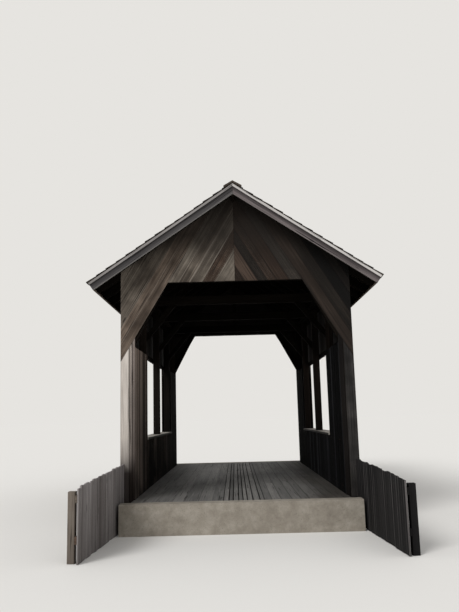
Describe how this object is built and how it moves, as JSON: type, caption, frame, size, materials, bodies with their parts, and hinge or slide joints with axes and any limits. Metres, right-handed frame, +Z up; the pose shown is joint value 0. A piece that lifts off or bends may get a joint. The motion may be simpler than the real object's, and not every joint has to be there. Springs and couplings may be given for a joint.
{
  "type": "covered bridge",
  "caption": "Small gable-roofed timber covered road bridge with plank siding, open windows over a parapet, chevron-boarded portals, shake roof, plank floor and wing walls.",
  "frame": {"origin": "on the ground under the middle of the bridge, at the bottom centre of the bounding box", "axes": "+Y along the road from the front portal to the back one, +X to the right seen from the front, +Z up"},
  "size_m": [5.3, 13.345, 6.1172],
  "materials": {
    "concrete": "rough",
    "frame_timber": "rough sawn",
    "road_boards": "worn",
    "wall_boards": "weathered",
    "roof_boards": "weathered",
    "shakes": "weathered"
  },
  "bodies": {
    "root": {"abutment_front": "concrete", "abutment_back": "concrete", "stringers": "frame_timber", "wall_sills": "frame_timber", "posts_left": "frame_timber", "posts_right": "frame_timber", "top_plates": "frame_timber", "girts_left": "frame_timber", "girts_right": "frame_timber", "tie_beams": "frame_timber", "knee_braces": "frame_timber", "head_beams": "frame_timber", "portal_braces": "frame_timber", "king_posts": "frame_timber", "ridge_board": "frame_timber", "rafters_left": "frame_timber", "rafters_right": "frame_timber", "deck_planks": "road_boards", "running_boards": "road_boards", "siding_left": "wall_boards", "siding_right": "wall_boards", "siding_over_windows_left": "wall_boards", "siding_over_windows_right": "wall_boards", "lining_left": "wall_boards", "lining_right": "wall_boards", "rail_caps": "wall_boards", "post_facings": "wall_boards", "gable_facing_front_left": "wall_boards", "gable_facing_front_right": "wall_boards", "gable_facing_back_left": "wall_boards", "gable_facing_back_right": "wall_boards", "wing_boards_front": "wall_boards", "wing_boards_back": "wall_boards", "wing_frames_front": "wall_boards", "wing_frames_back": "wall_boards", "roof_deck_left": "roof_boards", "roof_deck_right": "roof_boards", "barge_boards_left": "roof_boards", "barge_boards_right": "roof_boards", "fascias": "roof_boards", "shakes_left": "shakes", "shakes_right": "shakes", "ridge_cap": "shakes"}
  },
  "joints": []
}
